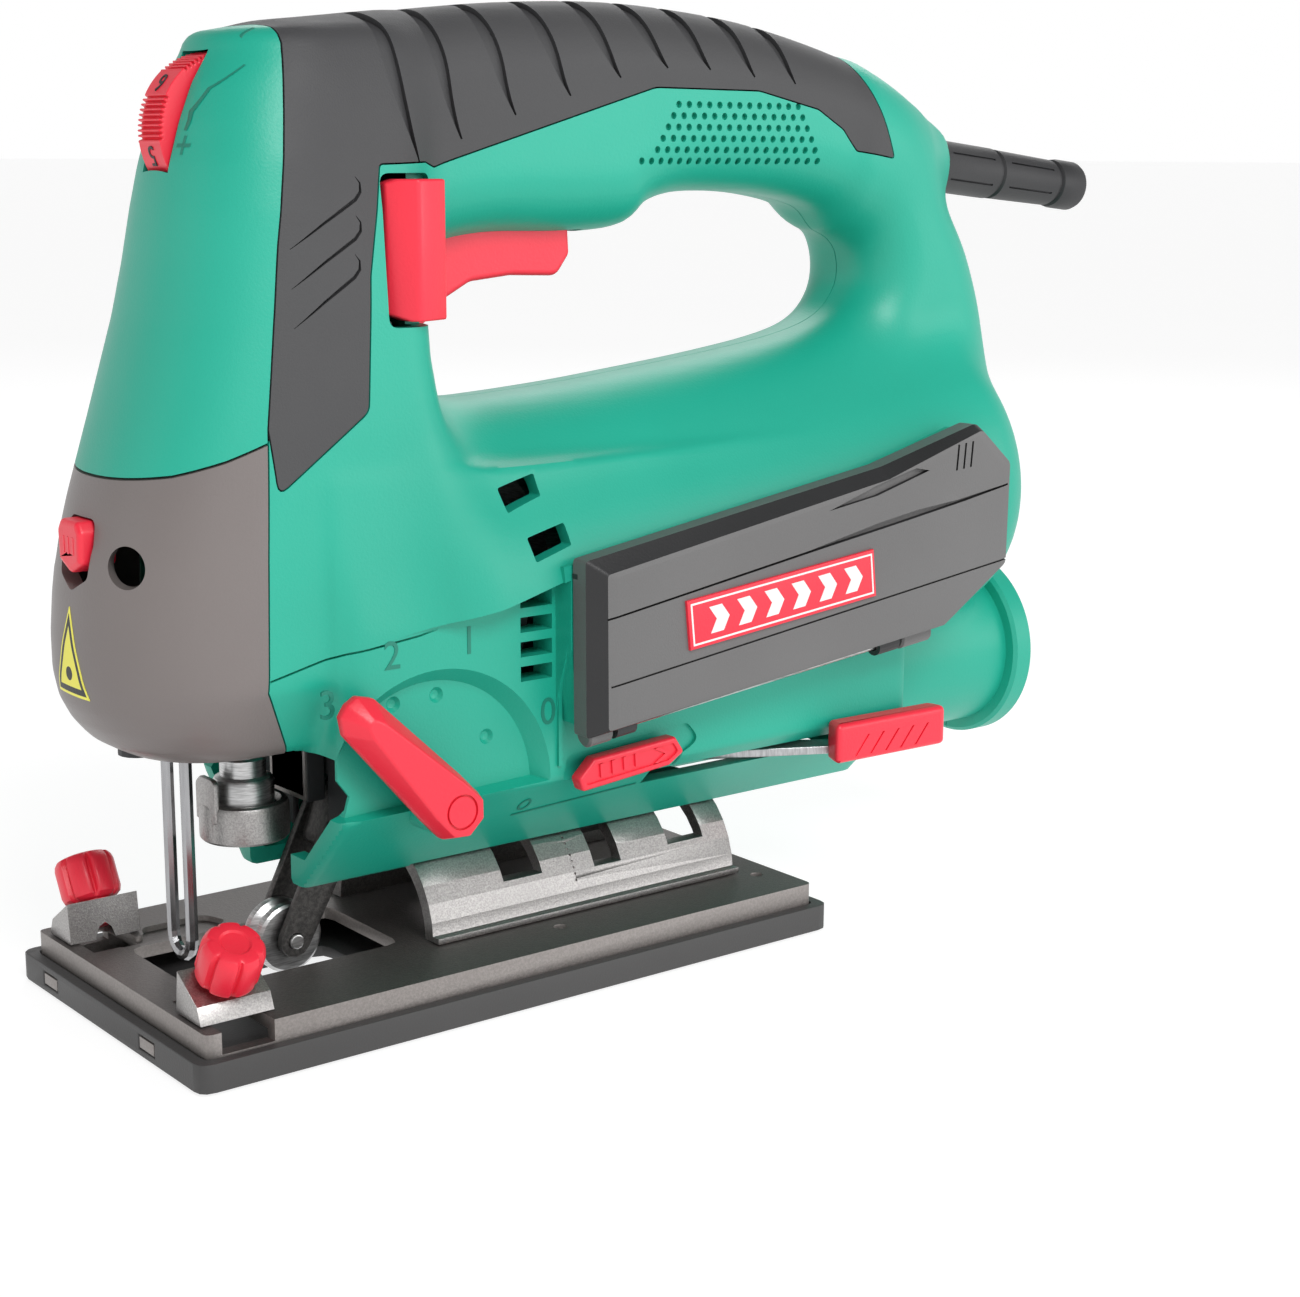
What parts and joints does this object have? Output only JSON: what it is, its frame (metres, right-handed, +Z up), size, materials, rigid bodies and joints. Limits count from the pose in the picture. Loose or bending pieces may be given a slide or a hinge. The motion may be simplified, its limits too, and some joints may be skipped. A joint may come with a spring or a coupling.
{
  "type": "jigsaw",
  "caption": "Corded jigsaw with a D-handle, tilting shoe, reciprocating plunger, pendulum roller, thumb dial, trigger, dust port and side storage lid.",
  "frame": {"origin": "centre of the flat underside of the shoe", "axes": "-X towards the nose, +Z up through the handle, -Y the operator's left (storage lid side)"},
  "size_m": [0.2732, 0.0847, 0.199],
  "materials": {
    "green_shell": "metallic green, satin",
    "soft_grip": "soft matte overmould",
    "nose_metallic": "metallic taupe, satin",
    "red_plastic": "satin",
    "lid_grey": "fine matte",
    "black_plastic": "matte",
    "sole_plastic": "matte",
    "plate_alloy": "dark coated",
    "cast_alloy": "blasted casting",
    "steel": "machined",
    "chrome": "polished",
    "copper": "wound copper and bronze",
    "carbon": "pressed carbon",
    "board_green": "circuit board"
  },
  "bodies": {
    "shoe": {"sole_cover": "sole_plastic", "base_plate": "plate_alloy", "bevel_bracket": "cast_alloy", "guide_lug_left": "cast_alloy", "guide_lug_right": "cast_alloy"},
    "left_knob": {"guide_knob_left": "red_plastic"},
    "right_knob": {"guide_knob_right": "red_plastic"},
    "machine": {"housing_left": "green_shell", "housing_right": "green_shell", "grip_overmould": "soft_grip", "nose_cover": "nose_metallic", "front_cap": "green_shell", "housing_screw_1": "steel", "housing_screw_2": "steel", "housing_screw_3": "steel", "housing_screw_4": "steel", "motor_stator": "steel", "bearing_front": "steel", "bearing_rear": "steel", "carbon_brush_left": "carbon", "carbon_brush_right": "carbon", "gear_pin": "steel", "gear_case": "cast_alloy", "plunger_bush_lower": "copper", "plunger_bush_upper": "copper", "arm_pin": "steel", "touch_guard": "chrome", "blower_nozzle": "steel", "storage_tray": "black_plastic", "lid_hinge_pin": "steel", "bevel_clamp_plate": "steel", "laser_module": "black_plastic", "switch_block": "black_plastic", "speed_board": "board_green", "cord_clamp": "black_plastic", "cable_boot": "black_plastic"},
    "armature": {"armature_shaft": "steel", "armature_core": "copper", "commutator": "copper", "motor_fan": "black_plastic"},
    "gear": {"drive_gear": "steel"},
    "plunger": {"plunger_rod": "chrome", "plunger_yoke": "steel", "blade_clamp": "steel"},
    "clamp_collar": {"clamp_ring": "steel"},
    "roller_bracket": {"roller_arm": "cast_alloy", "roller_pin": "steel"},
    "roller": {"guide_roller": "steel"},
    "dial": {"speed_dial": "red_plastic"},
    "switch_trigger": {"trigger": "red_plastic"},
    "lock": {"lock_button": "red_plastic"},
    "orbit_selector": {"selector_lever": "red_plastic", "selector_shaft": "steel"},
    "blower_slider": {"blow_slider": "red_plastic"},
    "bevel_clamp": {"bevel_lever": "steel", "bevel_lever_grip": "red_plastic", "bevel_bolt": "steel"},
    "storage_door": {"storage_lid": "lid_grey", "lid_badge": "red_plastic"},
    "laser_switch": {"laser_button": "red_plastic"}
  },
  "joints": [
    {"name": "bevel_tilt", "type": "hinge", "parent": "shoe", "child": "machine", "pos_m": [0, 0, 0.0102], "axis": [1, 0, 0], "range_deg": [-45, 45]},
    {"name": "left_knob_turn", "type": "hinge", "parent": "shoe", "child": "left_knob", "pos_m": [-0.0658, -0.0281, 0.0164], "axis": [0, -0.5, 0.866], "range_deg": [0, 360]},
    {"name": "right_knob_turn", "type": "hinge", "parent": "shoe", "child": "right_knob", "pos_m": [-0.0658, 0.0281, 0.0164], "axis": [0, 0.5, 0.866], "range_deg": [0, 360]},
    {"name": "plunger_slide", "type": "slide", "parent": "machine", "child": "plunger", "axis": [0, 0, 1], "range_m": [-0.014, 0.004]},
    {"name": "clamp_ring_twist", "type": "hinge", "parent": "plunger", "child": "clamp_collar", "pos_m": [-0.0455, 0, 0.038], "axis": [0, 0, 1], "range_deg": [0, 45], "stiffness_Nm_per_rad": 0.02, "springref_deg": -22.92},
    {"name": "roller_arm_swing", "type": "hinge", "parent": "machine", "child": "roller_bracket", "pos_m": [-0.024, 0, 0.038], "axis": [0, 1, 0], "range_deg": [0, 4]},
    {"name": "roller_spin", "type": "hinge", "parent": "roller_bracket", "child": "roller", "pos_m": [-0.0378, 0, 0.0119], "axis": [0, 1, 0], "continuous": true},
    {"name": "armature_spin", "type": "hinge", "parent": "machine", "child": "armature", "pos_m": [0, 0, 0.08], "axis": [1, 0, 0], "continuous": true},
    {"name": "gear_spin", "type": "hinge", "parent": "machine", "child": "gear", "pos_m": [0, 0, 0.1053], "axis": [1, 0, 0], "continuous": true},
    {"name": "dial_turn", "type": "hinge", "parent": "machine", "child": "dial", "pos_m": [-0.0455, 0, 0.172], "axis": [0, 1, 0], "range_deg": [0, 270]},
    {"name": "trigger_pull", "type": "hinge", "parent": "machine", "child": "switch_trigger", "pos_m": [-0.008, 0, 0.1545], "axis": [0, -1, 0], "range_deg": [0, 6.5], "stiffness_Nm_per_rad": 0.6, "springref_deg": -6.88},
    {"name": "lock_push", "type": "slide", "parent": "machine", "child": "lock", "axis": [0, 1, 0], "range_m": [0, 0.003], "stiffness_N_per_m": 300, "springref_m": -0.002},
    {"name": "selector_turn", "type": "hinge", "parent": "machine", "child": "orbit_selector", "pos_m": [-0.019, -0.0335, 0.0435], "axis": [0, 1, 0], "range_deg": [0, 90]},
    {"name": "blow_slide", "type": "slide", "parent": "machine", "child": "blower_slider", "axis": [0.9971, 0, 0.0767], "range_m": [0, 0.008]},
    {"name": "bevel_clamp_turn", "type": "hinge", "parent": "machine", "child": "bevel_clamp", "pos_m": [0.032, 0, 0.0386], "axis": [0, 0, -1], "range_deg": [0, 35]},
    {"name": "storage_lid_open", "type": "hinge", "parent": "machine", "child": "storage_door", "pos_m": [0.0095, -0.0385, 0.054], "axis": [0.9945, 0, 0.1045], "range_deg": [0, 100]},
    {"name": "laser_push", "type": "slide", "parent": "machine", "child": "laser_switch", "axis": [1, 0, 0], "range_m": [0, 0.0015], "stiffness_N_per_m": 200, "springref_m": -0.001}
  ],
  "couplings": [
    {"joint": "gear_spin", "follows": "armature_spin", "ratio": -0.1}
  ]
}
